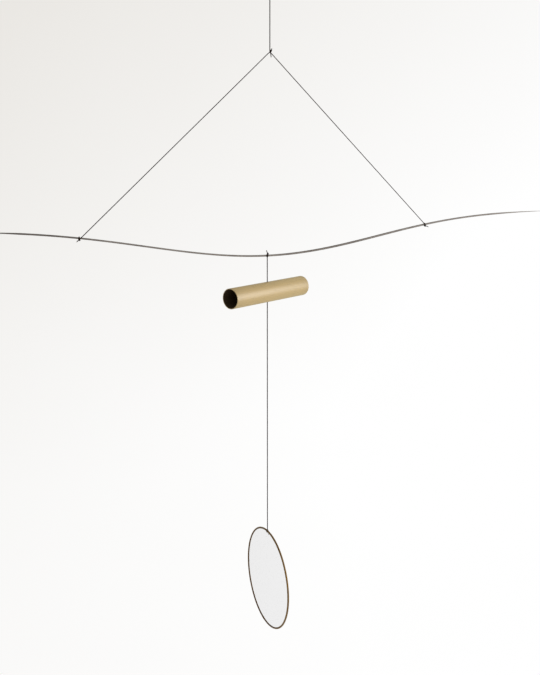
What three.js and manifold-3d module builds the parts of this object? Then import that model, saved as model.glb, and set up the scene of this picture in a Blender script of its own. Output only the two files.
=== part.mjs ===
// Hanging mobile: a bent cross bar on a cord bridle, with a brass tube and a glazed hoop on one drop cord.
// Millimetres, +Z up, +X along the bar. The origin is the point of the top loop that rests on a hook.
import * as THREE from 'three';
import { mergeVertices } from 'three/addons/utils/BufferGeometryUtils.js';
import Module from 'manifold-3d';

const wasm = await Module();
wasm.setup();

// Cords
const CORD_DIAMETER = 1.2;
const BRIDLE_DIAMETER = 1.05; // the bridle and the tails are of the same cord, laid thinner
const CORD_SIDES = 8;
const FIT_GAP = 0.2; // clearance between a knot or cord and what it holds
const TURN_PRESS = 0.94; // the pitch of a knot's turns in cord diameters, as they press into each other
const TIGHT_KNOT = 0.55; // how far a tight knot's turns stand from its middle, in cord diameters
const LOOSE_KNOT = 0.9;
const KNOT_FILL = 0.8; // how far up inside its end turns a knot is solid, as a share of the cord's radius
const LOOP_HEIGHT = 25;
const LOOP_WIDTH = 11;
const LOOP_TO_APEX = 100; // from the loop's top down to the apex of the bridle
const LOOP_KNOT_TURNS = 4;
const LOOP_TAIL_LENGTH = 5;
// Shares of the loop's half width and of its height at the places that shape each side, from the knot up
const LOOP_SHAPE = [
  [0.6, 0.7],
  [1, 0.3],
  [0.6, 0.04],
];

// Apex, where a slanting knot stands beside the hanging cord and the legs leave its foot
const APEX_KNOT_TURNS = 3;
const APEX_KNOT_SIDE = 1.2;
const APEX_KNOT_RISE = 0.4;
const APEX_KNOT_LEAN_DEG = 30;
const LEGS_BELOW_APEX = 0.7;
const APEX_STUB_LENGTH = 2;
const APEX_TAIL_LENGTH = 6;

// Cross bar, measured along X from the middle of its wave
const BAR_DIAMETER = 2.8; // where it is fullest
const BAR_LEFT_DIAMETER = 2;
const BAR_RIGHT_DIAMETER = 2.3;
const BAR_TIP_DIAMETER = 0.5;
const BAR_FULLEST_AT = 140;
const BAR_LEFT_SWELL = 260; // how far the full part takes to thin out on each side
const BAR_RIGHT_SWELL = 170;
const BAR_LEFT = 350;
const BAR_RIGHT = 455;
const BAR_LEFT_TAPER = 42;
const BAR_RIGHT_TAPER = 90;
const BAR_BELOW_APEX = 246;
const WAVE_HALF_LENGTH = 455; // from the low middle to where the bar is level again
const WAVE_RISE = 43.7;
const WAVE_FULLNESS = 0.163; // how far the slope gathers towards the middle

// Ties on the bar: one tight turn, and a knot on it in front of the bar
const TIE_LEFT = 243.4; // from the middle of the wave to each tie of the bridle
const TIE_RIGHT = 240.9;
const TIE_KNOT_TURNS = 2;
const TIE_KNOT_DEG = -48; // where the knot sits on its turn, up from straight in front
const LEFT_TAIL = [-3.2, -0.4, -2.4];
const RIGHT_TAIL = [4.6, -0.5, -1.2];
const DROP_KNOT_TURNS = 3;
const DROP_KNOT_DEG = 38;
const DROP_KNOT_SIDE = -0.7; // from the drop cord's turn to its knot, along the bar
const DROP_TAIL = [-1.1, -0.3, 4.6];

// Drop cord
const DROP_X = -3.7; // the bar hangs level with the drop cord a little left of its middle
const TUBE_BELOW_BAR = 46;
const HOOP_BELOW_TUBE = 321.5;
const STOP_KNOT_TURNS = 3;

// Tube
const TUBE_DIAMETER = 25.4;
const TUBE_WALL = 0.9;
const TUBE_LENGTH = 135;
const TUBE_CHAMFER = 0.15;
const TUBE_HOLE_CLEARANCE = 0.35; // all round the cord, however the tube turns on it
const TUBE_TURN_DEG = 20.4;
const TUBE_TILT_DEG = 1.1;

// Hoop and glass
const HOOP_DIAMETER = 133; // between the middles of the wire
const HOOP_WIRE_DIAMETER = 2.4;
const HOOP_TURN_DEG = 85.5;
const HOOP_TIE_DIAMETER = 0.6; // thin thread
const HOOP_KNOT_TURNS = 1;
const HOOP_KNOT_DEG = -35; // where the knot sits, up from straight behind the wire
const HOOP_TAIL = [-0.8, -0.4, -4];
const GLASS_THICKNESS = 0.6;
const GLASS_NOTCH_CLEARANCE = 1; // all round the cord, where the notch in the rim lets it round the wire

// Mesh fineness
const BAR_STEPS = 54;
const BAR_SIDES = 8;
const TUBE_SIDES = 48;
const HOOP_STEPS = 64;
const HOOP_SIDES = 8;
const GLASS_SIDES = 72;
const HOLE_SIDES = 12;
const KNOT_STEPS = 10;
const KNOT_SIDES = 8;
const LOOP_STEPS = 26;
const STRAIGHT_STEP = 25; // most length of straight cord between two rings of its mesh
const TANGENT_STEP = 0.5; // half the length over which the bar's slope is taken
const WELD_DISTANCE = 1e-4;

// Derived sizes and places
const CORD_RADIUS = CORD_DIAMETER / 2;
const BRIDLE_RADIUS = BRIDLE_DIAMETER / 2;
const APEX_Z = -LOOP_TO_APEX;
const BAR_Z = APEX_Z - BAR_BELOW_APEX;
const TUBE_Z = BAR_Z - TUBE_BELOW_BAR;
const TUBE_RADIUS = TUBE_DIAMETER / 2;
const TUBE_INNER_RADIUS = TUBE_RADIUS - TUBE_WALL;
const TUBE_TILT = THREE.MathUtils.degToRad(TUBE_TILT_DEG);
const TUBE_TURN = THREE.MathUtils.degToRad(TUBE_TURN_DEG);
const TUBE_HOLE_RADIUS = CORD_RADIUS + TUBE_HOLE_CLEARANCE + TUBE_RADIUS * Math.sin(TUBE_TILT);
const HOOP_TOP_Z = TUBE_Z - HOOP_BELOW_TUBE;
const HOOP_RADIUS = HOOP_DIAMETER / 2;
const HOOP_TURN = THREE.MathUtils.degToRad(HOOP_TURN_DEG);
const WIRE_RADIUS = HOOP_WIRE_DIAMETER / 2;
const GLASS_RADIUS = HOOP_RADIUS - WIRE_RADIUS - FIT_GAP;
const HOOP_TIE_RADIUS = HOOP_TIE_DIAMETER / 2;
const HOOP_TIE_REACH = WIRE_RADIUS + FIT_GAP + HOOP_TIE_RADIUS; // from the wire's middle to its turn
const GLASS_NOTCH_RADIUS = HOOP_TIE_RADIUS + GLASS_NOTCH_CLEARANCE;

const UP = new THREE.Vector3(0, 0, 1);
const ALONG_X = new THREE.Vector3(1, 0, 0);
const ALONG_Y = new THREE.Vector3(0, 1, 0);

// Finishes
const finishes = {
  cord: new THREE.MeshStandardMaterial({ color: 0x6b5f55, roughness: 0.95, metalness: 0 }),
  bar: new THREE.MeshStandardMaterial({ color: 0x5b4f45, roughness: 0.5, metalness: 0.8 }),
  tube: new THREE.MeshStandardMaterial({ color: 0xd8bd8a, roughness: 0.35, metalness: 1 }),
  hoop: new THREE.MeshStandardMaterial({ color: 0x8a7350, roughness: 0.4, metalness: 1 }),
  glass: new THREE.MeshStandardMaterial({
    color: 0xe8ecec,
    roughness: 0.05,
    metalness: 0,
    transparent: true,
    opacity: 0.3,
  }),
};

// Solids

function toSolid(geometry) {
  const bare = geometry.clone();
  bare.deleteAttribute('normal');
  bare.deleteAttribute('uv');
  const merged = mergeVertices(bare, WELD_DISTANCE);
  const vertProperties = new Float32Array(merged.attributes.position.array);
  const triVerts = new Uint32Array(merged.index.array);
  return new wasm.Manifold(new wasm.Mesh({ numProp: 3, vertProperties, triVerts }));
}

function toGeometry(solid) {
  const { vertProperties, triVerts } = solid.getMesh();
  const geometry = new THREE.BufferGeometry();
  geometry.setAttribute('position', new THREE.BufferAttribute(new Float32Array(vertProperties), 3));
  geometry.setIndex(new THREE.BufferAttribute(new Uint32Array(triVerts), 1));
  geometry.computeVertexNormals();
  return geometry;
}

function joined(solids) {
  return solids.reduce((whole, solid) => whole.add(solid));
}

function cordSection(radius) {
  const shape = new THREE.Shape();
  for (let i = 0; i < CORD_SIDES; i += 1) {
    const angle = (2 * Math.PI * (i + 0.5)) / CORD_SIDES;
    const x = radius * Math.cos(angle);
    const y = radius * Math.sin(angle);
    if (i === 0) shape.moveTo(x, y);
    else shape.lineTo(x, y);
  }
  shape.closePath();
  return shape;
}

function cordAlong(extrudePath, steps, radius) {
  const options = { steps, extrudePath, bevelEnabled: false };
  return toSolid(new THREE.ExtrudeGeometry(cordSection(radius), options));
}

function straightCord(from, to, radius) {
  const steps = Math.ceil(from.distanceTo(to) / STRAIGHT_STEP);
  return cordAlong(new THREE.LineCurve3(from, to), steps, radius);
}

// Turns of cord side by side round an axis
function turnsRound(centre, axis, reach, turns, radius) {
  const spin = new THREE.Quaternion().setFromUnitVectors(UP, axis);
  const rings = [];
  for (let i = 0; i < turns; i += 1) {
    const ring = new THREE.TorusGeometry(reach, radius, KNOT_SIDES, KNOT_STEPS);
    ring.applyQuaternion(spin);
    const along = (i - (turns - 1) / 2) * 2 * radius * TURN_PRESS;
    ring.translate(...centre.clone().addScaledVector(axis, along).toArray());
    rings.push(toSolid(ring));
  }
  return joined(rings);
}

// A barrel knot is wound on the cord itself, with no space inside its turns
function barrelKnot(centre, axis, turns, radius, tightness) {
  const reach = 2 * radius * tightness;
  const height = 2 * radius * ((turns - 1) * TURN_PRESS + KNOT_FILL);
  const core = new THREE.CylinderGeometry(reach, reach, height, KNOT_STEPS);
  core.applyQuaternion(new THREE.Quaternion().setFromUnitVectors(ALONG_Y, axis));
  core.translate(...centre.toArray());
  return turnsRound(centre, axis, reach, turns, radius).add(toSolid(core));
}

function knotHalfHeight(turns, radius) {
  return (turns - 1) * radius * TURN_PRESS + radius;
}

function knotOuterRadius(radius, tightness) {
  return 2 * radius * tightness + radius;
}

// How far from the middle of a rod an upright tight knot sits, to stay clear of it in a direction of degrees
function knotStandOff(rodRadius, degrees, turns, radius) {
  const angle = THREE.MathUtils.degToRad(degrees);
  const upward = knotHalfHeight(turns, radius) * Math.abs(Math.sin(angle));
  const outward = knotOuterRadius(radius, TIGHT_KNOT) * Math.cos(angle);
  return rodRadius + FIT_GAP + upward + outward;
}

// Cross bar

function barHeight(x) {
  const share = Math.min(1, Math.abs(x) / WAVE_HALF_LENGTH);
  const swell = (1 - Math.cos(Math.PI * share)) / 2;
  const gather = (1 - Math.cos(2 * Math.PI * share)) / 2;
  return BAR_Z + WAVE_RISE * (swell + WAVE_FULLNESS * gather);
}

function barTangent(x) {
  const rise = barHeight(x + TANGENT_STEP) - barHeight(x - TANGENT_STEP);
  return new THREE.Vector3(2 * TANGENT_STEP, 0, rise).normalize();
}

function barPoint(x) {
  return new THREE.Vector3(x, 0, barHeight(x));
}

// Fine along the left arm, fullest right of the middle, and thinning to both tips
function barRadius(x) {
  const onLeft = x < BAR_FULLEST_AT;
  const plain = onLeft ? BAR_LEFT_DIAMETER : BAR_RIGHT_DIAMETER;
  const run = onLeft ? BAR_LEFT_SWELL : BAR_RIGHT_SWELL;
  const share = Math.min(1, Math.abs(x - BAR_FULLEST_AT) / run);
  const full = THREE.MathUtils.lerp(plain, BAR_DIAMETER, (1 + Math.cos(Math.PI * share)) / 2);
  const left = (x + BAR_LEFT) / BAR_LEFT_TAPER;
  const right = (BAR_RIGHT - x) / BAR_RIGHT_TAPER;
  return THREE.MathUtils.lerp(BAR_TIP_DIAMETER, full, Math.min(1, left, right)) / 2;
}

// A straight tapered rod, turned on a lathe, and then bent to the wave
function crossBar() {
  const profile = [new THREE.Vector2(0, -BAR_LEFT)];
  for (let i = 0; i <= BAR_STEPS; i += 1) {
    const x = THREE.MathUtils.lerp(-BAR_LEFT, BAR_RIGHT, i / BAR_STEPS);
    profile.push(new THREE.Vector2(barRadius(x), x));
  }
  profile.push(new THREE.Vector2(0, BAR_RIGHT));
  const rod = new THREE.LatheGeometry(profile, BAR_SIDES);
  const place = rod.attributes.position;
  for (let i = 0; i < place.count; i += 1) {
    const x = place.getY(i);
    const tangent = barTangent(x);
    const point = barPoint(x);
    point.x -= place.getZ(i) * tangent.z;
    point.y = -place.getX(i);
    point.z += place.getZ(i) * tangent.x;
    place.setXYZ(i, point.x, point.y, point.z);
  }
  return toGeometry(toSolid(rod));
}

// Cords and their knots

// One tight turn round the bar, with a knot on it in front and a short tail from the knot
function barTie(knot, x, turns, radius, tail) {
  const reach = barRadius(x) + FIT_GAP + radius;
  return joined([
    turnsRound(barPoint(x), barTangent(x), reach, 1, radius),
    barrelKnot(knot, UP, turns, radius, TIGHT_KNOT),
    straightCord(knot, knot.clone().add(new THREE.Vector3(...tail)), BRIDLE_RADIUS),
  ]);
}

function tieKnotPlace(x, degrees, turns, radius) {
  const angle = THREE.MathUtils.degToRad(degrees);
  const out = knotStandOff(barRadius(x), degrees, turns, radius);
  return barPoint(x).add(new THREE.Vector3(0, -out * Math.cos(angle), out * Math.sin(angle)));
}

function apexKnotAxis() {
  const lean = THREE.MathUtils.degToRad(APEX_KNOT_LEAN_DEG);
  return new THREE.Vector3(Math.sin(lean), 0, Math.cos(lean));
}

function hangingCord() {
  const half = LOOP_WIDTH / 2;
  const knot = new THREE.Vector3(0, 0, -LOOP_HEIGHT);
  const oneSide = [new THREE.Vector3(CORD_RADIUS, 0, -LOOP_HEIGHT)];
  for (const [width, height] of LOOP_SHAPE) {
    oneSide.push(new THREE.Vector3(half * width, 0, -LOOP_HEIGHT * height));
  }
  const top = new THREE.Vector3(0, 0, CORD_RADIUS);
  const otherSide = oneSide.map((point) => new THREE.Vector3(-point.x, 0, point.z)).reverse();
  const loop = new THREE.CatmullRomCurve3([...oneSide, top, ...otherSide], false, 'centripetal');
  const axis = apexKnotAxis();
  const knotReach =
    knotHalfHeight(APEX_KNOT_TURNS, CORD_RADIUS) * axis.z +
    knotOuterRadius(CORD_RADIUS, TIGHT_KNOT) * axis.x;
  const lowest = new THREE.Vector3(0, 0, APEX_Z + APEX_KNOT_RISE + knotReach + FIT_GAP);
  const tail = new THREE.Vector3(CORD_DIAMETER, CORD_DIAMETER, -LOOP_HEIGHT - LOOP_TAIL_LENGTH);
  return toGeometry(
    joined([
      cordAlong(loop, LOOP_STEPS, CORD_RADIUS),
      barrelKnot(knot, UP, LOOP_KNOT_TURNS, CORD_RADIUS, LOOSE_KNOT),
      straightCord(knot, tail, CORD_RADIUS),
      straightCord(lowest, knot, CORD_RADIUS),
    ]),
  );
}

function bridleCord() {
  const knot = new THREE.Vector3(APEX_KNOT_SIDE, 0, APEX_Z + APEX_KNOT_RISE);
  const axis = apexKnotAxis();
  const half = knotHalfHeight(APEX_KNOT_TURNS, CORD_RADIUS) - CORD_RADIUS;
  const foot = knot.clone().addScaledVector(axis, -half);
  const head = knot.clone().addScaledVector(axis, half);
  const stubEnd = head.clone().addScaledVector(axis, APEX_STUB_LENGTH);
  const tailEnd = new THREE.Vector3(knot.x, -BRIDLE_DIAMETER, foot.z - APEX_TAIL_LENGTH);
  const legsStart = new THREE.Vector3(0, 0, APEX_Z - LEGS_BELOW_APEX);
  const solids = [
    barrelKnot(knot, axis, APEX_KNOT_TURNS, CORD_RADIUS, TIGHT_KNOT),
    straightCord(head, stubEnd, BRIDLE_RADIUS),
    straightCord(foot, tailEnd, BRIDLE_RADIUS),
  ];
  for (const [x, tail] of [
    [-TIE_LEFT, LEFT_TAIL],
    [TIE_RIGHT, RIGHT_TAIL],
  ]) {
    const tieKnot = tieKnotPlace(x, TIE_KNOT_DEG, TIE_KNOT_TURNS, BRIDLE_RADIUS);
    solids.push(straightCord(legsStart, tieKnot, BRIDLE_RADIUS));
    solids.push(barTie(tieKnot, x, TIE_KNOT_TURNS, BRIDLE_RADIUS, tail));
  }
  return toGeometry(joined(solids));
}

function dropCord() {
  const start = barPoint(DROP_X);
  start.z -= barRadius(DROP_X) + FIT_GAP + CORD_RADIUS;
  const end = new THREE.Vector3(DROP_X, 0, HOOP_TOP_Z + HOOP_TIE_REACH + HOOP_TIE_RADIUS + FIT_GAP);
  const stopDrop = TUBE_INNER_RADIUS - FIT_GAP - knotHalfHeight(STOP_KNOT_TURNS, CORD_RADIUS);
  const stopKnot = new THREE.Vector3(DROP_X, 0, TUBE_Z + stopDrop);
  const tieKnot = tieKnotPlace(DROP_X, DROP_KNOT_DEG, DROP_KNOT_TURNS, CORD_RADIUS);
  tieKnot.x += DROP_KNOT_SIDE;
  return toGeometry(
    joined([
      barTie(tieKnot, DROP_X, DROP_KNOT_TURNS, CORD_RADIUS, DROP_TAIL),
      straightCord(start, end, CORD_RADIUS),
      barrelKnot(stopKnot, UP, STOP_KNOT_TURNS, CORD_RADIUS, LOOSE_KNOT),
    ]),
  );
}

// One tight turn over the hoop's wire and through the notch in the glass, knotted behind the wire.
// It is drawn from the wire's middle: x along the wire, y outwards from the glass, z up.
function hoopTie() {
  const angle = THREE.MathUtils.degToRad(HOOP_KNOT_DEG);
  const out = knotStandOff(WIRE_RADIUS, HOOP_KNOT_DEG, HOOP_KNOT_TURNS, HOOP_TIE_RADIUS);
  const wire = new THREE.Vector3(0, 0, 0);
  const knot = new THREE.Vector3(0, -out * Math.cos(angle), out * Math.sin(angle));
  return toGeometry(
    joined([
      turnsRound(wire, ALONG_X, HOOP_TIE_REACH, 1, HOOP_TIE_RADIUS),
      barrelKnot(knot, UP, HOOP_KNOT_TURNS, HOOP_TIE_RADIUS, TIGHT_KNOT),
      straightCord(knot, knot.clone().add(new THREE.Vector3(...HOOP_TAIL)), HOOP_TIE_RADIUS),
    ]),
  );
}

// Tube, hoop and glass

// Turned about its own axis as a ring of wall, then drilled straight through for the cord
function brassTube() {
  const half = TUBE_LENGTH / 2;
  const wall = [
    [TUBE_INNER_RADIUS, TUBE_CHAMFER - half],
    [TUBE_INNER_RADIUS + TUBE_CHAMFER, -half],
    [TUBE_RADIUS - TUBE_CHAMFER, -half],
    [TUBE_RADIUS, TUBE_CHAMFER - half],
    [TUBE_RADIUS, half - TUBE_CHAMFER],
    [TUBE_RADIUS - TUBE_CHAMFER, half],
    [TUBE_INNER_RADIUS + TUBE_CHAMFER, half],
    [TUBE_INNER_RADIUS, half - TUBE_CHAMFER],
    [TUBE_INNER_RADIUS, TUBE_CHAMFER - half],
  ].map(([radius, along]) => new THREE.Vector2(radius, along));
  const tube = new THREE.LatheGeometry(wall, TUBE_SIDES);
  tube.rotateZ(-Math.PI / 2);
  const drill = new THREE.CylinderGeometry(
    TUBE_HOLE_RADIUS,
    TUBE_HOLE_RADIUS,
    TUBE_DIAMETER * 2,
    HOLE_SIDES,
  );
  drill.rotateX(Math.PI / 2);
  return toGeometry(toSolid(tube).subtract(toSolid(drill)));
}

function hoopWire() {
  const ring = new THREE.TorusGeometry(HOOP_RADIUS, WIRE_RADIUS, HOOP_SIDES, HOOP_STEPS);
  ring.rotateX(Math.PI / 2);
  return toGeometry(toSolid(ring));
}

function glassDisc() {
  const disc = new THREE.CylinderGeometry(GLASS_RADIUS, GLASS_RADIUS, GLASS_THICKNESS, GLASS_SIDES);
  const drill = new THREE.CylinderGeometry(
    GLASS_NOTCH_RADIUS,
    GLASS_NOTCH_RADIUS,
    GLASS_THICKNESS * 2,
    HOLE_SIDES,
  );
  drill.translate(0, 0, HOOP_RADIUS - HOOP_TIE_REACH);
  return toGeometry(toSolid(disc).subtract(toSolid(drill)));
}

// Assembly

function piece(name, geometry, finish) {
  const mesh = new THREE.Mesh(geometry, finishes[finish]);
  mesh.name = name;
  return mesh;
}

function hangingTube() {
  const mesh = piece('brass_tube', brassTube(), 'tube');
  mesh.position.set(DROP_X, 0, TUBE_Z);
  mesh.rotation.set(0, -TUBE_TILT, TUBE_TURN, 'ZYX');
  return mesh;
}

function hangingHoop() {
  const group = new THREE.Group();
  group.position.set(DROP_X, 0, HOOP_TOP_Z);
  group.rotation.z = HOOP_TURN;
  const hoop = piece('hoop', hoopWire(), 'hoop');
  const glass = piece('glass_disc', glassDisc(), 'glass');
  hoop.position.z = -HOOP_RADIUS;
  glass.position.z = -HOOP_RADIUS;
  group.add(hoop, glass, piece('hoop_tie', hoopTie(), 'cord'));
  return group;
}

const mobile = new THREE.Group();
mobile.add(
  piece('hanging_cord', hangingCord(), 'cord'),
  piece('bridle_cord', bridleCord(), 'cord'),
  piece('cross_bar', crossBar(), 'bar'),
  piece('drop_cord', dropCord(), 'cord'),
  hangingTube(),
  hangingHoop(),
);

export default mobile;
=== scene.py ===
import math
import random

import bmesh
import bpy
from mathutils import Matrix, Vector


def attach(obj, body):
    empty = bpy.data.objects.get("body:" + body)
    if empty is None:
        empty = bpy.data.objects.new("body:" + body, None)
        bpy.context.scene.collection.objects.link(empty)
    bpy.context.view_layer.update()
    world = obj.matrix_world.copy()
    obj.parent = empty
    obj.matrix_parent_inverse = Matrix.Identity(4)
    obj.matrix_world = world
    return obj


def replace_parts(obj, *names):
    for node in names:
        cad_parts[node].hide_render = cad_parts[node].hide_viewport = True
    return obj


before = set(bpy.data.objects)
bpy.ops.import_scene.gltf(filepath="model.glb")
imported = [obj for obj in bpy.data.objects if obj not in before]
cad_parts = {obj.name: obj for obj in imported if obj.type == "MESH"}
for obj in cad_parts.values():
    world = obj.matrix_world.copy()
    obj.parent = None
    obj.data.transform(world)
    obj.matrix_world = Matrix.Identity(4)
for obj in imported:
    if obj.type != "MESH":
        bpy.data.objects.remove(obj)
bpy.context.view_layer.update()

# Metres, +Z up, +X along the bar. The origin is the point of the top loop that rests on a hook.
MM = 0.001
UP = Vector((0, 0, 1))
ALONG_X = Vector((1, 0, 0))

# Cords
CORD_DIAMETER = 1.2 * MM
BRIDLE_DIAMETER = 1.05 * MM
FIT_GAP = 0.2 * MM
TURN_PRESS = 0.94
TIGHT_KNOT = 0.55
LOOSE_KNOT = 0.9
LOOP_HEIGHT = 25 * MM
LOOP_WIDTH = 11 * MM
LOOP_TO_APEX = 100 * MM
LOOP_SHAPE = ((0.6, 0.7), (1, 0.3), (0.6, 0.04))
LOOP_KNOT_TURNS = 4
LOOP_TAIL_LENGTH = 5 * MM

# Apex, where a slanting knot holds the hanging cord and the legs leave its foot
APEX_KNOT_TURNS = 3
APEX_KNOT_SIDE = 1.2 * MM
APEX_KNOT_RISE = 0.4 * MM
APEX_KNOT_LEAN = math.radians(30)
APEX_BEND_RADIUS = 2.4 * MM
LEGS_BELOW_APEX = 0.7 * MM
APEX_STUB_LENGTH = 2 * MM
APEX_TAIL_LENGTH = 6 * MM

# Cross bar
BAR_DIAMETER = 2.8 * MM
BAR_LEFT_DIAMETER = 2 * MM
BAR_RIGHT_DIAMETER = 2.3 * MM
BAR_TIP_DIAMETER = 0.5 * MM
BAR_FULLEST_AT = 140 * MM
BAR_LEFT_SWELL = 260 * MM
BAR_RIGHT_SWELL = 170 * MM
BAR_LEFT = 350 * MM
BAR_RIGHT = 455 * MM
BAR_LEFT_TAPER = 42 * MM
BAR_RIGHT_TAPER = 90 * MM
BAR_BELOW_APEX = 246 * MM
WAVE_HALF_LENGTH = 455 * MM
WAVE_RISE = 43.7 * MM
WAVE_FULLNESS = 0.163

# Ties on the bar
TIE_LEFT = 243.4 * MM
TIE_RIGHT = 240.9 * MM
TIE_KNOT_TURNS = 2
TIE_KNOT_ANGLE = math.radians(-48)
LEFT_TAIL = Vector((-3.2, -0.4, -1.6)) * MM
RIGHT_TAIL = Vector((4.6, -0.5, -1.2)) * MM
LEFT_LEG_END = Vector((0, 0, 0.6)) * MM
RIGHT_LEG_END = Vector((0.8, 0, 1)) * MM
DROP_KNOT_TURNS = 3
DROP_KNOT_ANGLE = math.radians(38)
DROP_KNOT_SIDE = -0.7 * MM
DROP_TAIL = Vector((-2, -0.3, 4.6)) * MM

# Drop cord
DROP_X = -3.7 * MM
TUBE_BELOW_BAR = 46 * MM
HOOP_BELOW_TUBE = 321.5 * MM
STOP_KNOT_TURNS = 3
STOP_KNOT_GAP = 0.45 * MM

# Tube
TUBE_DIAMETER = 25.4 * MM
TUBE_WALL = 0.9 * MM
TUBE_LENGTH = 135 * MM
TUBE_EDGE = 0.15 * MM
TUBE_HOLE_CLEARANCE = 0.35 * MM
TUBE_HOLE_FLARE = 0.25 * MM
DRILL_SPREAD = 1.6
TUBE_TURN = math.radians(20.4)
TUBE_TILT = math.radians(1.1)

# Hoop and glass
HOOP_DIAMETER = 133 * MM
HOOP_WIRE_DIAMETER = 2.4 * MM
HOOP_TURN = math.radians(85.5)
HOOP_TIE_DIAMETER = 0.6 * MM
HOOP_KNOT_TURNS = 1
HOOP_KNOT_ANGLE = math.radians(-35)
HOOP_TAIL = Vector((-0.8, -0.4, -4)) * MM
GLASS_THICKNESS = 0.6 * MM
GLASS_NOTCH_CLEARANCE = 1 * MM
GLASS_EDGE = 0.1 * MM
GLASS_SEAT = 0.6 * MM

# Twisted cord: three strands laid together, which stand proud of its mean radius and sink inside it
STRANDS = 3
LOBE_REACH = 1.12
STRAND_SHARE = 0.464
GROOVE_SHARE = 0.433
STRAND_ANGLES = (-100, -50, 0, 50, 100)
LAY_DIAMETERS = 3
CORD_STEP = 0.3 * MM
KNOT_STEP = 0.2 * MM
HANGING_SPANS = 4
LEG_SPANS = 9
DROP_SPANS = 16
APEX_BEND_SHARES = (-0.6, -0.2, 0.2, 0.6)
FRAY_FIBRES = 9
FRAY_LENGTH = 1.1 * MM
FRAY_RADIUS = 0.05 * MM
FRAY_SIDES = 4
FRAY_SPREAD = 0.45
FRAY_ROOT_SPREAD = 0.9
FRAY_SHORTEST = 0.6
FRAY_DROOP = 0.25
FRAY_THINNING = 0.6

# Knots and tails, as shares of the cord's radius or of the tail's length
CROSSING_SWING = math.radians(60)
CROSSING_RISE = 0.3
CROSSING_FALL = 0.6
TAIL_CREST_AT = 0.55
TAIL_CREST = 0.05

# Derived sizes and places
CORD_RADIUS = CORD_DIAMETER / 2
BRIDLE_RADIUS = BRIDLE_DIAMETER / 2
BAR_RADIUS = BAR_DIAMETER / 2
APEX_Z = -LOOP_TO_APEX
BAR_Z = APEX_Z - BAR_BELOW_APEX
TUBE_Z = BAR_Z - TUBE_BELOW_BAR
TUBE_RADIUS = TUBE_DIAMETER / 2
TUBE_INNER_RADIUS = TUBE_RADIUS - TUBE_WALL
TUBE_HOLE_RADIUS = CORD_RADIUS + TUBE_HOLE_CLEARANCE + TUBE_RADIUS * math.sin(TUBE_TILT)
HOOP_TOP_Z = TUBE_Z - HOOP_BELOW_TUBE
HOOP_RADIUS = HOOP_DIAMETER / 2
WIRE_RADIUS = HOOP_WIRE_DIAMETER / 2
GLASS_RADIUS = HOOP_RADIUS - WIRE_RADIUS
HOOP_TIE_RADIUS = HOOP_TIE_DIAMETER / 2
HOOP_TIE_REACH = WIRE_RADIUS + FIT_GAP + HOOP_TIE_RADIUS
GLASS_NOTCH_RADIUS = HOOP_TIE_RADIUS + GLASS_NOTCH_CLEARANCE

# Mesh fineness
BAR_RING_STEP = 2 * MM
BAR_SIDES = 24
TUBE_SIDES = 160
EDGE_STEPS = 4
HOLE_SIDES = 48
HOOP_STEPS = 240
HOOP_SIDES = 24
GLASS_SIDES = 240
NOTCH_STEPS = 16

# The hoop's wire is joined at the bottom, where the joint stands a little proud
JOINT_SWELL = 0.12 * MM
JOINT_SPREAD = math.radians(1.6)
JOINT_AT = math.radians(168)

# Camera, a little below the apex and to the left of the bar's middle
CAMERA_AT = Vector((-533.6, -995.1, -228.9)) * MM
CAMERA_HEADING = math.radians(-28.21)
CAMERA_PITCH = math.radians(11.13)
CAMERA_LENS = 48
CAMERA_SENSOR = 36

# Room and light
FLOOR_Z = -1.7
STAGE_RADIUS = 5
STAGE_TOP = 5
STAGE_POLE_RADIUS = 0.01
SWEEP_RADIUS = 1.5
SWEEP_STEPS = 12
STAGE_SIDES = 96
SHADE_TOWARDS = (-0.8812, 0.4727, 1.08)
KEY_FROM = Vector((0.8, -0.58, 0.12)).normalized()
SOFTBOX_AT = Vector((2.44, -1.91, 0.05))
SOFTBOX_SIZE = (3.4, 2.2)
SOFTBOX_POWER = 34

rng = random.Random(7)


def make_camera():
    data = bpy.data.cameras.new("camera")
    data.lens = CAMERA_LENS
    data.sensor_width = CAMERA_SENSOR
    data.clip_start = 0.01
    data.clip_end = 50
    camera = bpy.data.objects.new("camera", data)
    camera.location = CAMERA_AT
    camera.rotation_euler = (math.pi / 2 - CAMERA_PITCH, 0, CAMERA_HEADING)
    bpy.context.scene.collection.objects.link(camera)
    bpy.context.scene.camera = camera


# Meshes


def new_piece(name, mesh, body, look, place=None):
    piece = bpy.data.objects.new(name, mesh)
    bpy.context.scene.collection.objects.link(piece)
    if place is not None:
        piece.matrix_world = place
    mesh.materials.append(look)
    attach(piece, body)
    return piece


def finished(bm, name, sharp_degrees=35):
    """The mesh of bm, smooth apart from its edges sharper than sharp_degrees."""
    bmesh.ops.recalc_face_normals(bm, faces=bm.faces)
    for face in bm.faces:
        face.smooth = True
    for edge in bm.edges:
        if len(edge.link_faces) == 2:
            edge.smooth = edge.calc_face_angle(0) < math.radians(sharp_degrees)
    mesh = bpy.data.meshes.new(name)
    bm.to_mesh(mesh)
    bm.free()
    return mesh


def smooth_route(points, step):
    """Points every step or so along a smooth line through the given points."""
    padded = [2 * points[0] - points[1], *points, 2 * points[-1] - points[-2]]
    route = []
    for a, b, c, d in zip(padded, padded[1:], padded[2:], padded[3:]):
        ab, bc, cd = ((q - p).length ** 0.5 for p, q in ((a, b), (b, c), (c, d)))
        leave = ((b - a) / ab - (c - a) / (ab + bc) + (c - b) / bc) * bc
        arrive = ((c - b) / bc - (d - b) / (bc + cd) + (d - c) / cd) * bc
        count = max(1, round((c - b).length / step))
        for i in range(count):
            t = i / count
            route.append(
                b * (2 * t**3 - 3 * t**2 + 1)
                + leave * (t**3 - 2 * t**2 + t)
                + c * (3 * t**2 - 2 * t**3)
                + arrive * (t**3 - t**2)
            )
    route.append(points[-1].copy())
    return route


def route_length(route):
    return sum((b - a).length for a, b in zip(route, route[1:]))


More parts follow.
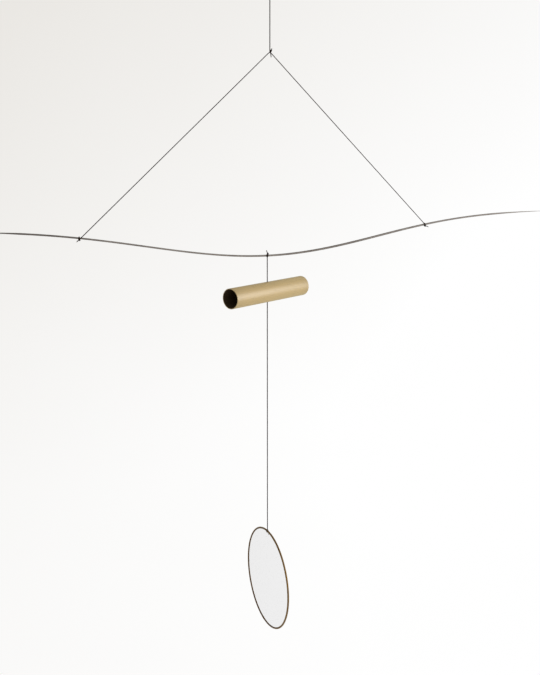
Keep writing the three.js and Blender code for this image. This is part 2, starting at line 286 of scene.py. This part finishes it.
def frames_along(route):
    """The tangent and two directions across the route at each point, with no twist of their own."""
    frames = []
    across = None
    for i in range(len(route)):
        tangent = (route[min(i + 1, len(route) - 1)] - route[max(i - 1, 0)]).normalized()
        if across is None:
            across = tangent.orthogonal().normalized()
        across = (across - tangent * across.dot(tangent)).normalized()
        frames.append((tangent, across, tangent.cross(across)))
    return frames


def join_rings(bm, rings):
    """Faces between one ring of vertices and the next."""
    for a, b in zip(rings, rings[1:]):
        for j in range(len(a)):
            k = (j + 1) % len(a)
            bm.faces.new((a[j], a[k], b[k], b[j]))


def sweep(bm, route, section, lay=math.inf, scale=lambda share: 1.0):
    """Sweeps a closed section along the route, with a full turn every lay metres."""
    uv = bm.loops.layers.uv.verify()
    whole = route_length(route)
    travelled = 0.0
    lower = None
    for i, (point, (_, side, top)) in enumerate(zip(route, frames_along(route))):
        start = travelled
        if i:
            travelled += (point - route[i - 1]).length
        turn = 2 * math.pi * travelled / lay
        size = scale(travelled / whole)
        ring = []
        for x, y in section:
            across = side * (x * math.cos(turn) - y * math.sin(turn))
            along = top * (x * math.sin(turn) + y * math.cos(turn))
            ring.append(bm.verts.new(point + (across + along) * size))
        if lower is None:
            bm.faces.new(list(reversed(ring)))
        else:
            count = len(section)
            for j in range(count):
                k = (j + 1) % count
                face = bm.faces.new((lower[j], lower[k], ring[k], ring[j]))
                places = ((j, start), (j + 1, start), (j + 1, travelled), (j, travelled))
                for loop, (u, v) in zip(face.loops, places):
                    loop[uv].uv = (u / count, v / lay)
        lower = ring
    bm.faces.new(lower)


def round_section(radius, sides):
    turns = (2 * math.pi * i / sides for i in range(sides))
    return [(radius * math.cos(turn), radius * math.sin(turn)) for turn in turns]


def lathe(profile, sides, closed=True):
    """Turns a profile of (radius, along) round the X axis. An open profile is capped flat."""
    bm = bmesh.new()
    rings = []
    for radius, along in profile:
        points = round_section(radius, sides)
        rings.append([bm.verts.new((along, y, z)) for y, z in points])
    if closed:
        join_rings(bm, rings + rings[:1])
    else:
        join_rings(bm, rings)
        bm.faces.new(list(reversed(rings[0])))
        bm.faces.new(rings[-1])
    return bm


def drilled(bm, cutter, name):
    """The mesh of bm with the cutter's mesh taken out of it."""
    blank = bpy.data.objects.new(name + "_blank", finished(bm, name + "_blank"))
    tool = bpy.data.objects.new(name + "_drill", finished(cutter, name + "_drill"))
    for part in (blank, tool):
        bpy.context.scene.collection.objects.link(part)
    cut = blank.modifiers.new("drill", "BOOLEAN")
    cut.operation = "DIFFERENCE"
    cut.solver = "EXACT"
    cut.object = tool
    evaluated = blank.evaluated_get(bpy.context.evaluated_depsgraph_get())
    result = bmesh.new()
    result.from_mesh(bpy.data.meshes.new_from_object(evaluated))
    for part in (blank, tool):
        bpy.data.objects.remove(part)
    return finished(result, name)


# Cross bar's line


def bar_height(x):
    share = min(1, abs(x) / WAVE_HALF_LENGTH)
    swell = (1 - math.cos(math.pi * share)) / 2
    gather = (1 - math.cos(2 * math.pi * share)) / 2
    return BAR_Z + WAVE_RISE * (swell + WAVE_FULLNESS * gather)


def bar_point(x):
    return Vector((x, 0, bar_height(x)))


def bar_tangent(x):
    return (bar_point(x + MM / 2) - bar_point(x - MM / 2)).normalized()


def bar_radius(x):
    """Fine along the left arm, fullest right of the middle, and thinning to both tips."""
    if x < BAR_FULLEST_AT:
        plain, run = BAR_LEFT_DIAMETER, BAR_LEFT_SWELL
    else:
        plain, run = BAR_RIGHT_DIAMETER, BAR_RIGHT_SWELL
    share = min(1, abs(x - BAR_FULLEST_AT) / run)
    full = plain + (BAR_DIAMETER - plain) * (1 + math.cos(math.pi * share)) / 2
    fullness = min(1, (x + BAR_LEFT) / BAR_LEFT_TAPER, (BAR_RIGHT - x) / BAR_RIGHT_TAPER)
    return (BAR_TIP_DIAMETER + (full - BAR_TIP_DIAMETER) * max(0, fullness)) / 2


# Twisted cord and its knots


def cord_section(radius):
    radius *= LOBE_REACH
    strand = radius * STRAND_SHARE
    section = []
    for i in range(STRANDS):
        out = 2 * math.pi * i / STRANDS
        middle = ((radius - strand) * math.cos(out), (radius - strand) * math.sin(out))
        for degrees in STRAND_ANGLES:
            turn = out + math.radians(degrees)
            across = middle[0] + strand * math.cos(turn)
            section.append((across, middle[1] + strand * math.sin(turn)))
        groove = out + math.pi / STRANDS
        reach = radius * GROOVE_SHARE
        section.append((reach * math.cos(groove), reach * math.sin(groove)))
    return section


def lay_cord(bm, route, radius):
    sweep(bm, route, cord_section(radius), LAY_DIAMETERS * 2 * radius)


def fray(bm, end, direction, radius):
    """Short loose fibres at a cut end of the cord."""
    for _ in range(FRAY_FIBRES):
        spread = Vector((rng.uniform(-1, 1), rng.uniform(-1, 1), rng.uniform(-1, 1)))
        spread *= FRAY_SPREAD
        lean = (direction + spread).normalized()
        root = end - direction * radius + spread * radius * FRAY_ROOT_SPREAD
        reach = FRAY_LENGTH * rng.uniform(FRAY_SHORTEST, 1) + radius
        droop = UP * -FRAY_LENGTH * rng.uniform(0, FRAY_DROOP)
        route = [root, root + lean * reach * TAIL_CREST_AT, root + lean * reach + droop]
        section = round_section(FRAY_RADIUS, FRAY_SIDES)
        lay = LAY_DIAMETERS * CORD_DIAMETER
        sweep(bm, route, section, lay, lambda share: 1 - FRAY_THINNING * share)


def lay_tail(bm, points, radius):
    lay_cord(bm, smooth_route(points, KNOT_STEP), radius)
    fray(bm, points[-1], (points[-1] - points[-2]).normalized(), radius)


def drooping(start, reach):
    """The points of a tail from start to start plus reach, which sags as it leaves."""
    crest = start + reach * TAIL_CREST_AT + UP * reach.length * TAIL_CREST
    return [start, crest, start + reach]


def wind(bm, centre, axis, reach, turns, radius, start):
    """Turns of cord side by side round an axis, each pressed against the next."""
    side = (start - axis * start.dot(axis)).normalized()
    other = axis.cross(side)
    rise = (turns - 0.5) * 2 * radius * TURN_PRESS
    steps = max(16, round(turns * 2 * math.pi * reach / KNOT_STEP))
    route = []
    for i in range(steps + 1):
        turn = 2 * math.pi * turns * i / steps
        swing = side * math.cos(turn) + other * math.sin(turn)
        route.append(centre + axis * (i / steps - 0.5) * rise + swing * reach)
    lay_cord(bm, route, radius)


def barrel_knot(bm, centre, axis, turns, radius, tightness):
    """Turns wound on the cord itself, with one strand crossing them on the slant."""
    reach = 2 * radius * tightness
    side = axis.orthogonal().normalized()
    other = axis.cross(side)
    wind(bm, centre, axis, reach, turns, radius, side)
    half = knot_half_height(turns, radius) - radius * CROSSING_FALL
    points = []
    for share in (-1, -0.5, 0, 0.5, 1):
        turn = CROSSING_SWING * share
        swing = side * math.cos(turn) + other * math.sin(turn)
        out = reach + radius * (CROSSING_RISE - CROSSING_FALL * share * share)
        points.append(centre + axis * half * share + swing * out)
    lay_cord(bm, smooth_route(points, KNOT_STEP), radius)


def knot_half_height(turns, radius):
    return (turns - 1) * radius * TURN_PRESS + radius


def knot_stand_off(rod_radius, angle, turns, radius):
    """How far from a rod's middle an upright tight knot rests on it, at an angle up from level."""
    upward = knot_half_height(turns, radius) * abs(math.sin(angle))
    outward = (2 * TIGHT_KNOT + 1) * radius * math.cos(angle)
    return rod_radius + upward + outward


def knot_on_rod(middle, rod_radius, angle, turns, radius):
    """The middle of a knot that sits on a rod, on the side towards -Y."""
    out = knot_stand_off(rod_radius, angle, turns, radius)
    return middle + Vector((0, -out * math.cos(angle), out * math.sin(angle)))


def rod_tie(bm, middle, along, reach, knot, turns, radius, tail, tail_radius):
    """One tight turn round a rod, with a knot on it and a short tail from the knot."""
    wind(bm, middle, along, reach, 1, radius, knot - middle)
    barrel_knot(bm, knot, UP, turns, radius, TIGHT_KNOT)
    lay_tail(bm, drooping(knot, tail), tail_radius)


def apex_knot_place():
    return Vector((APEX_KNOT_SIDE, 0, APEX_Z + APEX_KNOT_RISE))


def hanging_route():
    """From inside the apex knot straight up to the loop's knot, then round the loop."""
    half = LOOP_WIDTH / 2
    knot_foot = -LOOP_HEIGHT - knot_half_height(LOOP_KNOT_TURNS, CORD_RADIUS)
    rise = knot_foot - APEX_Z
    points = [Vector((0, 0, APEX_Z + rise * i / HANGING_SPANS)) for i in range(HANGING_SPANS + 1)]
    one_side = [Vector((CORD_RADIUS, 0, -LOOP_HEIGHT))]
    one_side += [Vector((half * w, 0, -LOOP_HEIGHT * h)) for w, h in LOOP_SHAPE]
    other_side = [Vector((-p.x, 0, p.z)) for p in reversed(one_side)]
    return smooth_route([*points, *one_side, Vector((0, 0, CORD_RADIUS)), *other_side], CORD_STEP)


def tie_knot_place(x):
    return knot_on_rod(bar_point(x), bar_radius(x), TIE_KNOT_ANGLE, TIE_KNOT_TURNS, BRIDLE_RADIUS)


def bridle_route():
    """From the left tie straight up to the apex, round a small bend and down to the right tie."""
    left = tie_knot_place(-TIE_LEFT) + LEFT_LEG_END
    right = tie_knot_place(TIE_RIGHT) + RIGHT_LEG_END
    apex = Vector((0, 0, APEX_Z - LEGS_BELOW_APEX))
    slope = math.atan2(apex.z - left.z, -left.x)
    lead = APEX_BEND_RADIUS * math.tan(slope)
    bend_left = apex + (left - apex).normalized() * lead
    bend_right = apex + (right - apex).normalized() * lead
    middle = Vector((0, 0, bend_left.z - APEX_BEND_RADIUS * math.cos(slope)))
    points = [left.lerp(bend_left, i / LEG_SPANS) for i in range(LEG_SPANS + 1)]
    for share in APEX_BEND_SHARES:
        turn = slope * share
        points.append(middle + Vector((math.sin(turn), 0, math.cos(turn))) * APEX_BEND_RADIUS)
    points += [bend_right.lerp(right, i / LEG_SPANS) for i in range(LEG_SPANS + 1)]
    return smooth_route(points, CORD_STEP)


def drop_route():
    """Straight down from the bar, through the tube, to the turn of cord on the hoop."""
    start = bar_point(DROP_X) - UP * (bar_radius(DROP_X) + CORD_RADIUS)
    end = Vector((DROP_X, 0, HOOP_TOP_Z + WIRE_RADIUS + HOOP_TIE_DIAMETER))
    points = [start.lerp(end, i / DROP_SPANS) for i in range(DROP_SPANS + 1)]
    return smooth_route(points, CORD_STEP)


def loop_knot(bm):
    knot = Vector((0, 0, -LOOP_HEIGHT))
    barrel_knot(bm, knot, UP, LOOP_KNOT_TURNS, CORD_RADIUS, LOOSE_KNOT)
    reach = Vector((CORD_DIAMETER, CORD_DIAMETER, -LOOP_TAIL_LENGTH))
    lay_tail(bm, drooping(knot, reach), CORD_RADIUS)


def apex_knot(bm):
    knot = apex_knot_place()
    axis = Vector((math.sin(APEX_KNOT_LEAN), 0, math.cos(APEX_KNOT_LEAN)))
    half = axis * (knot_half_height(APEX_KNOT_TURNS, CORD_RADIUS) - CORD_RADIUS)
    barrel_knot(bm, knot, axis, APEX_KNOT_TURNS, CORD_RADIUS, TIGHT_KNOT)
    lay_tail(bm, [knot + half, knot + half + axis * APEX_STUB_LENGTH], BRIDLE_RADIUS)
    foot = knot - half
    end = Vector((knot.x, -BRIDLE_DIAMETER, foot.z - APEX_TAIL_LENGTH))
    lay_tail(bm, drooping(foot, end - foot), BRIDLE_RADIUS)


def bridle_tie(x, tail):
    reach, turns, radius = bar_radius(x) + BRIDLE_RADIUS, TIE_KNOT_TURNS, BRIDLE_RADIUS
    middle, along, knot = bar_point(x), bar_tangent(x), tie_knot_place(x)
    return lambda bm: rod_tie(bm, middle, along, reach, knot, turns, radius, tail, radius)


def drop_tie(bm):
    turns, radius = DROP_KNOT_TURNS, CORD_RADIUS
    middle, along, rod = bar_point(DROP_X), bar_tangent(DROP_X), bar_radius(DROP_X)
    knot = knot_on_rod(middle, rod, DROP_KNOT_ANGLE, turns, radius)
    knot.x += DROP_KNOT_SIDE
    rod_tie(bm, middle, along, rod + radius, knot, turns, radius, DROP_TAIL, BRIDLE_RADIUS)


def stop_knot(bm):
    half = knot_half_height(STOP_KNOT_TURNS, CORD_RADIUS)
    drop = TUBE_INNER_RADIUS - STOP_KNOT_GAP - half
    knot = Vector((DROP_X, 0, TUBE_Z + drop))
    barrel_knot(bm, knot, UP, STOP_KNOT_TURNS, CORD_RADIUS, LOOSE_KNOT)


def hoop_tie(bm):
    """Drawn from the middle of the hoop's wire, with x along the wire."""
    middle = Vector((0, 0, 0))
    reach, turns, radius = WIRE_RADIUS + HOOP_TIE_RADIUS, HOOP_KNOT_TURNS, HOOP_TIE_RADIUS
    knot = knot_on_rod(middle, WIRE_RADIUS, HOOP_KNOT_ANGLE, turns, radius)
    rod_tie(bm, middle, ALONG_X, reach, knot, turns, radius, HOOP_TAIL, radius)


def hoop_frame():
    return Matrix.Translation((DROP_X, 0, HOOP_TOP_Z)) @ Matrix.Rotation(HOOP_TURN, 4, "Z")


def cord_piece(name, body, look, lay, place=None):
    bm = bmesh.new()
    lay(bm)
    return new_piece(name, finished(bm, name, 80), body, look, place)


def strung(name, node, body, look, route, radius):
    """A long cord along a route, in place of the model's part of the given name."""
    piece = cord_piece(name, body, look, lambda bm: lay_cord(bm, route, radius))
    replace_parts(piece, node)


def make_cords(look):
    top = cord_piece("loop_knot", "hanger", look, loop_knot)
    route = hanging_route()
    strung("hanging_line", "hanging_cord", "hanger", look, route, CORD_RADIUS)

    knots = [
        cord_piece("apex_knot", "arm", look, apex_knot),
        cord_piece("left_tie", "arm", look, bridle_tie(-TIE_LEFT, LEFT_TAIL)),
        cord_piece("right_tie", "arm", look, bridle_tie(TIE_RIGHT, RIGHT_TAIL)),
    ]
    route = bridle_route()
    strung("bridle", "bridle_cord", "arm", look, route, BRIDLE_RADIUS)

    knots = [
        cord_piece("drop_tie", "arm", look, drop_tie),
        cord_piece("stop_knot", "arm", look, stop_knot),
    ]
    route = drop_route()
    strung("drop_line", "drop_cord", "arm", look, route, CORD_RADIUS)

    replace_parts(cord_piece("hoop_loop", "hoop", look, hoop_tie, hoop_frame()), "hoop_tie")


# Bar, tube, hoop and glass


def make_bar(look):
    bm = bmesh.new()
    whole = BAR_LEFT + BAR_RIGHT
    count = round(whole / BAR_RING_STEP)
    route = [bar_point(whole * i / count - BAR_LEFT) for i in range(count + 1)]
    section = round_section(BAR_RADIUS, BAR_SIDES)
    sweep(bm, route, section, 1, lambda share: bar_radius(whole * share - BAR_LEFT) / BAR_RADIUS)
    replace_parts(new_piece("bar", finished(bm, "bar"), "arm", look), "cross_bar")


def rounded_wall():
    """The tube wall's section as (radius, along), with rounded edges at both ends."""
    half = TUBE_LENGTH / 2
    corners = (
        (TUBE_INNER_RADIUS, -half, 1, 1),
        (TUBE_RADIUS, -half, -1, 1),
        (TUBE_RADIUS, half, -1, -1),
        (TUBE_INNER_RADIUS, half, 1, -1),
    )
    profile = []
    for index, (radius, along, inward, back) in enumerate(corners):
        centre = (radius + inward * TUBE_EDGE, along + back * TUBE_EDGE)
        for i in range(EDGE_STEPS + 1):
            turn = math.pi / 2 * i / EDGE_STEPS
            across, lengthwise = math.cos(turn), math.sin(turn)
            if index % 2:
                across, lengthwise = lengthwise, across
            profile.append(
                (centre[0] - inward * TUBE_EDGE * across, centre[1] - back * TUBE_EDGE * lengthwise)
            )
    return profile


def make_tube(look):
    flare = TUBE_HOLE_RADIUS + TUBE_HOLE_FLARE
    profile = [
        (flare * DRILL_SPREAD, -TUBE_DIAMETER),
        (flare, -TUBE_RADIUS),
        (TUBE_HOLE_RADIUS, TUBE_HOLE_FLARE - TUBE_RADIUS),
        (TUBE_HOLE_RADIUS, TUBE_RADIUS - TUBE_HOLE_FLARE),
        (flare, TUBE_RADIUS),
        (flare * DRILL_SPREAD, TUBE_DIAMETER),
    ]
    drill = lathe(profile, HOLE_SIDES, closed=False)
    drill.transform(Matrix.Rotation(math.pi / 2, 4, "Y"))
    mesh = drilled(lathe(rounded_wall(), TUBE_SIDES), drill, "tube")
    place = (
        Matrix.Translation((DROP_X, 0, TUBE_Z))
        @ Matrix.Rotation(TUBE_TURN, 4, "Z")
        @ Matrix.Rotation(-TUBE_TILT, 4, "Y")
    )
    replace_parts(new_piece("tube", mesh, "tube", look, place), "brass_tube")


def make_hoop(look):
    bm = bmesh.new()
    rings = []
    for i in range(HOOP_STEPS):
        turn = 2 * math.pi * i / HOOP_STEPS
        swell = JOINT_SWELL * math.exp(-(((turn - JOINT_AT) / JOINT_SPREAD) ** 2))
        out = Vector((math.sin(turn), 0, math.cos(turn)))
        ring = []
        for x, y in round_section(WIRE_RADIUS + swell, HOOP_SIDES):
            ring.append(bm.verts.new(out * (HOOP_RADIUS + x) + Vector((0, y, -HOOP_RADIUS))))
        rings.append(ring)
    join_rings(bm, rings + rings[:1])
    piece = new_piece("hoop_wire", finished(bm, "hoop_wire"), "hoop", look, hoop_frame())
    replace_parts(piece, "hoop")


def glass_outline(inset):
    """The disc's edge as (x, z) from the hoop's middle, set in the wire and notched at the top."""
    rim = GLASS_RADIUS + GLASS_SEAT - inset
    notch = GLASS_NOTCH_RADIUS + inset
    notch_z = HOOP_RADIUS - HOOP_TIE_REACH
    opening = math.atan2(notch, notch_z)
    outline = []
    for i in range(GLASS_SIDES + 1):
        turn = opening + (2 * math.pi - 2 * opening) * i / GLASS_SIDES
        outline.append((rim * math.sin(turn), rim * math.cos(turn)))
    for i in range(NOTCH_STEPS + 1):
        turn = math.pi * i / NOTCH_STEPS
        outline.append((-notch * math.cos(turn), notch_z - notch * math.sin(turn)))
    return outline


def make_glass(look):
    bm = bmesh.new()
    half = GLASS_THICKNESS / 2
    flat = half - GLASS_EDGE
    rings = []
    for inset, y in ((GLASS_EDGE, -half), (0, -flat), (0, flat), (GLASS_EDGE, half)):
        rings.append([bm.verts.new((x, y, z - HOOP_RADIUS)) for x, z in glass_outline(inset)])
    join_rings(bm, rings)
    for ring, y in ((rings[0], -half), (rings[-1], half)):
        centre = bm.verts.new((0, y, -HOOP_RADIUS))
        for a, b in zip(ring, ring[1:] + ring[:1]):
            bm.faces.new((centre, a, b))
    piece = new_piece("glass", finished(bm, "glass"), "hoop", look, hoop_frame())
    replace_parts(piece, "glass_disc")


# Materials


class Look:
    """The nodes of a material or of the world, added one at a time."""

    def __init__(self, owner):
        owner.use_nodes = True
        self.owner = owner
        self.tree = owner.node_tree

    def feed(self, socket, value):
        if isinstance(value, bpy.types.NodeSocket):
            self.tree.links.new(value, socket)
        else:
            socket.default_value = value

    def add(self, kind, inputs, **settings):
        node = self.tree.nodes.new("ShaderNode" + kind)
        for key, value in settings.items():
            setattr(node, key, value)
        for key, value in inputs.items():
            self.feed(node.inputs[key], value)
        return node

    def place(self, scale=(1, 1, 1), shift=(0, 0, 0)):
        """The piece's own coordinates in metres, stretched by scale and then shifted."""
        coordinates = self.add("TexCoord", {}).outputs["Object"]
        inputs = {"Vector": coordinates, "Scale": scale, "Location": shift}
        return self.add("Mapping", inputs).outputs["Vector"]

    def length(self, vector):
        return self.add("VectorMath", {0: vector}, operation="LENGTH").outputs["Value"]

    def along(self, vector, direction):
        inputs = {0: vector, 1: direction}
        return self.add("VectorMath", inputs, operation="DOT_PRODUCT").outputs["Value"]

    def noise(self, place, scale, detail=4, roughness=0.55):
        inputs = {"Vector": place, "Scale": scale, "Detail": detail, "Roughness": roughness}
        return self.add("TexNoise", inputs).outputs["Fac"]

    def spread(self, value, low, high, to_low=0.0, to_high=1.0):
        inputs = {
            "Value": value,
            "From Min": low,
            "From Max": high,
            "To Min": to_low,
            "To Max": to_high,
        }
        return self.add("MapRange", inputs).outputs["Result"]

    def ramp(self, value, stops):
        """A grey level that follows (value, level) stops."""
        node = self.add("ValToRGB", {"Fac": value})
        marks = node.color_ramp.elements
        marks[0].position, marks[1].position = stops[0][0], stops[-1][0]
        for at, _ in stops[1:-1]:
            marks.new(at)
        for mark, (_, level) in zip(sorted(marks, key=lambda mark: mark.position), stops):
            mark.color = (level, level, level, 1)
        return node.outputs["Color"]

    def blend(self, share, first, second):
        node = self.add("Mix", {}, data_type="RGBA")
        self.feed(node.inputs[0], share)
        self.feed(node.inputs[6], first)
        self.feed(node.inputs[7], second)
        return node.outputs[2]

    def maths(self, operation, first, second):
        node = self.add("Math", {0: first, 1: second}, operation=operation)
        return node.outputs[0]

    def bump(self, height, distance, strength=1.0, normal=None):
        inputs = {"Height": height, "Distance": distance, "Strength": strength}
        if normal is not None:
            inputs["Normal"] = normal
        return self.add("Bump", inputs).outputs["Normal"]

    def finish(self, shader="Principled BSDF", **inputs):
        for key, value in inputs.items():
            self.feed(self.tree.nodes[shader].inputs[key.replace("_", " ")], value)
        return self.owner


def new_look(name):
    return Look(bpy.data.materials.new(name))


def srgb(red, green, blue):
    """A colour given as 0-255 screen values."""
    linear = []
    for value in (red, green, blue):
        share = value / 255
        linear.append(share / 12.92 if share <= 0.04045 else ((share + 0.055) / 1.055) ** 2.4)
    return (*linear, 1)


def cord_look():
    look = new_look("cord")
    uv = look.add("UVMap", {}, uv_map="UVMap").outputs["UV"]
    strand = look.add("Mapping", {"Vector": uv, "Scale": (54, 1.2, 1)}).outputs["Vector"]
    fibre = look.noise(strand, 1, detail=3, roughness=0.7)
    mottle = look.noise(look.place(), 160, detail=3)
    colour = look.blend(look.spread(fibre, 0.3, 0.7), srgb(32, 19, 14), srgb(66, 47, 39))
    colour = look.blend(look.spread(mottle, 0.35, 0.75, 0, 0.4), colour, srgb(56, 38, 31))
    rough = look.spread(fibre, 0.2, 0.8, 0.95, 0.76)
    normal = look.bump(fibre, 0.06 * MM, 0.8)
    return look.finish(
        Base_Color=colour, Roughness=rough, Normal=normal, Sheen_Weight=0.04, Sheen_Roughness=0.5
    )


# Painted reflection along the bar, lighter where it reflects more light: shares of its length from
# the left tip, and how light it is there
BAR_PAINTED_SHEEN = (
    (0, 0.26),
    (0.045, 0.22),
    (0.088, 0.25),
    (0.162, 0.4),
    (0.26, 0.5),
    (0.324, 0.5),
    (0.386, 0.45),
    (0.48, 0.4),
    (0.554, 0.34),
    (0.633, 0.4),
    (0.688, 0.42),
    (0.791, 0.46),
    (0.852, 0.48),
    (1, 0.58),
)


def bar_look():
    look = new_look("bar")
    drawn = look.noise(look.place((0.05, 1, 1)), 5200, detail=3, roughness=0.6)
    patches = look.noise(look.place(), 42, detail=5, roughness=0.62)
    specks = look.noise(look.place(), 900, detail=2)
    x = look.along(look.place(), (1, 0, 0))
    # Painted reflection along the bar, with its own mottled patches added on top
    sheen_and_patches = look.ramp(look.spread(x, -BAR_LEFT, BAR_RIGHT), BAR_PAINTED_SHEEN)
    sheen_and_patches = look.maths("ADD", sheen_and_patches, look.spread(patches, 0.3, 0.7, -0.15, 0.15))
    colour = look.blend(sheen_and_patches, srgb(66, 54, 47), srgb(208, 200, 191))
    colour = look.blend(look.spread(specks, 0.6, 0.75, 0, 0.5), colour, srgb(64, 56, 50))
    rough = look.spread(patches, 0.3, 0.7, 0.36, 0.54)
    normal = look.bump(drawn, 0.012 * MM, 0.6)
    normal = look.bump(specks, 0.03 * MM, 0.5, normal)
    return look.finish(Base_Color=colour, Metallic=0.9, Roughness=rough, Normal=normal)


def tube_look():
    look = new_look("tube")
    turned = look.noise(look.place((1, 0.02, 0.02)), 3800, detail=4, roughness=0.7)
    brushed = look.noise(look.place((0.03, 1, 1)), 2600, detail=3, roughness=0.6)
    cloud = look.noise(look.place(), 26, detail=4)
    spots = look.noise(look.place(), 240, detail=3, roughness=0.65)
    from_middle = look.maths("ABSOLUTE", look.along(look.place(), (1, 0, 0)), 0.0)
    near_end = look.spread(from_middle, TUBE_LENGTH * 0.38, TUBE_LENGTH * 0.5, 0, 0.2)
    colour = look.blend(look.spread(cloud, 0.3, 0.7), srgb(237, 211, 134), srgb(242, 218, 143))
    colour = look.blend(look.spread(spots, 0.58, 0.8, 0, 0.4), colour, srgb(200, 174, 96))
    colour = look.blend(near_end, colour, srgb(206, 182, 106))
    # The inside is painted darker, as painted shade for the tube's hollow, and has no coat
    across = look.length(look.place((0, 1, 1)))
    inside = look.spread(across, TUBE_RADIUS - TUBE_WALL * 0.8, TUBE_RADIUS - TUBE_WALL * 0.9)
    colour = look.blend(inside, colour, srgb(112, 94, 72))
    rough = look.spread(cloud, 0.3, 0.7, 0.86, 0.94)
    lacquer = look.spread(inside, 0, 1, 1, 0)
    normal = look.bump(turned, 0.008 * MM, 0.5)
    normal = look.bump(brushed, 0.006 * MM, 0.4, normal)
    return look.finish(
        Base_Color=colour,
        Metallic=1.0,
        Roughness=rough,
        Normal=normal,
        Coat_Weight=lacquer,
        Coat_IOR=2.8,
        Coat_Roughness=0.46,
    )


def hoop_look():
    look = new_look("hoop")
    patches = look.noise(look.place(), 55, detail=5, roughness=0.6)
    specks = look.noise(look.place(), 1100, detail=2)
    colour = look.blend(look.spread(patches, 0.35, 0.66), srgb(140, 106, 56), srgb(168, 134, 80))
    colour = look.blend(look.spread(specks, 0.6, 0.75, 0, 0.5), colour, srgb(94, 70, 38))
    # Painted shade on the wire's inner side, beside the glass
    from_middle = look.length(look.place(shift=(0, 0, HOOP_RADIUS)))
    painted_inner_shade = look.spread(from_middle, HOOP_RADIUS, HOOP_RADIUS - WIRE_RADIUS * 0.6, 0, 0.7)
    colour = look.blend(painted_inner_shade, colour, srgb(92, 62, 28))
    rough = look.spread(patches, 0.3, 0.7, 0.34, 0.52)
    normal = look.bump(specks, 0.02 * MM, 0.5)
    return look.finish(Base_Color=colour, Metallic=0.95, Roughness=rough, Normal=normal)


def glass_look():
    look = new_look("glass")
    ripple = look.noise(look.place(), 18, detail=1)
    normal = look.bump(ripple, 0.02 * MM, 0.3)
    return look.finish(
        Base_Color=(0.955, 0.955, 0.96, 1),
        Roughness=0.01,
        IOR=1.5,
        Specular_IOR_Level=0.25,
        Transmission_Weight=1.0,
        Normal=normal,
    )


# Floor, backdrop and light


def make_stage():
    """A pale floor that curves up into a backdrop all round and over the top."""
    look = new_look("backdrop")
    # The backdrop is a touch greyer and warmer high on the left
    shade = look.spread(look.along(look.place(), SHADE_TOWARDS), -2.15, 3)
    grain = look.spread(look.noise(look.place(), 0.6, detail=2), 0.3, 0.7, -0.02, 0.02)
    colour = look.blend(look.maths("ADD", shade, grain), (1, 1, 1, 1), srgb(231, 228, 223))
    emission = look.add("Emission", {"Color": colour, "Strength": 1.0}).outputs["Emission"]
    look.finish("Material Output", Surface=emission)

    profile = [(STAGE_POLE_RADIUS, FLOOR_Z), (STAGE_RADIUS - SWEEP_RADIUS, FLOOR_Z)]
    for i in range(1, SWEEP_STEPS + 1):
        turn = math.pi / 2 * i / SWEEP_STEPS
        out = STAGE_RADIUS - SWEEP_RADIUS + SWEEP_RADIUS * math.sin(turn)
        profile.append((out, FLOOR_Z + SWEEP_RADIUS * (1 - math.cos(turn))))
    profile += [(STAGE_RADIUS, STAGE_TOP - SWEEP_RADIUS), (STAGE_POLE_RADIUS, STAGE_TOP)]
    bm = lathe(profile, STAGE_SIDES, closed=False)
    bm.transform(Matrix.Rotation(-math.pi / 2, 4, "Y"))
    mesh = finished(bm, "backdrop")
    mesh.materials.append(look.owner)
    stage = bpy.data.objects.new("backdrop", mesh)
    stage.visible_diffuse = False
    stage.visible_glossy = False
    stage.visible_shadow = False
    bpy.context.scene.collection.objects.link(stage)


def make_light():
    """Soft light from the right, paler from the floor than from the dark room behind and above."""
    look = Look(bpy.data.worlds.new("studio"))
    direction = look.add("TexCoord", {}).outputs["Generated"]
    facing = look.spread(look.along(direction, KEY_FROM), -0.9, 1)
    room = look.ramp(facing, ((0, 0.3), (0.45, 0.38), (0.72, 0.46), (1, 0.52)))
    below = look.spread(look.along(direction, UP), -0.05, -0.9, 0, 0.7)
    colour = look.blend(below, room, (0.6, 0.6, 0.59, 1))
    bpy.context.scene.world = look.finish("Background", Color=colour, Strength=1.0)

    lamp = bpy.data.lights.new("softbox", "AREA")
    lamp.shape = "RECTANGLE"
    lamp.size, lamp.size_y = SOFTBOX_SIZE
    lamp.energy = SOFTBOX_POWER
    lamp.color = (1.0, 0.99, 0.975)
    softbox = bpy.data.objects.new("softbox", lamp)
    softbox.location = SOFTBOX_AT
    aim = Vector((0, 0, BAR_Z)) - SOFTBOX_AT
    softbox.rotation_euler = aim.to_track_quat("-Z", "Y").to_euler()
    softbox.visible_camera = False
    bpy.context.scene.collection.objects.link(softbox)
    bpy.context.scene.view_settings.view_transform = "Standard"


make_camera()
make_cords(cord_look())
make_bar(bar_look())
make_tube(tube_look())
make_hoop(hoop_look())
make_glass(glass_look())
make_stage()
make_light()
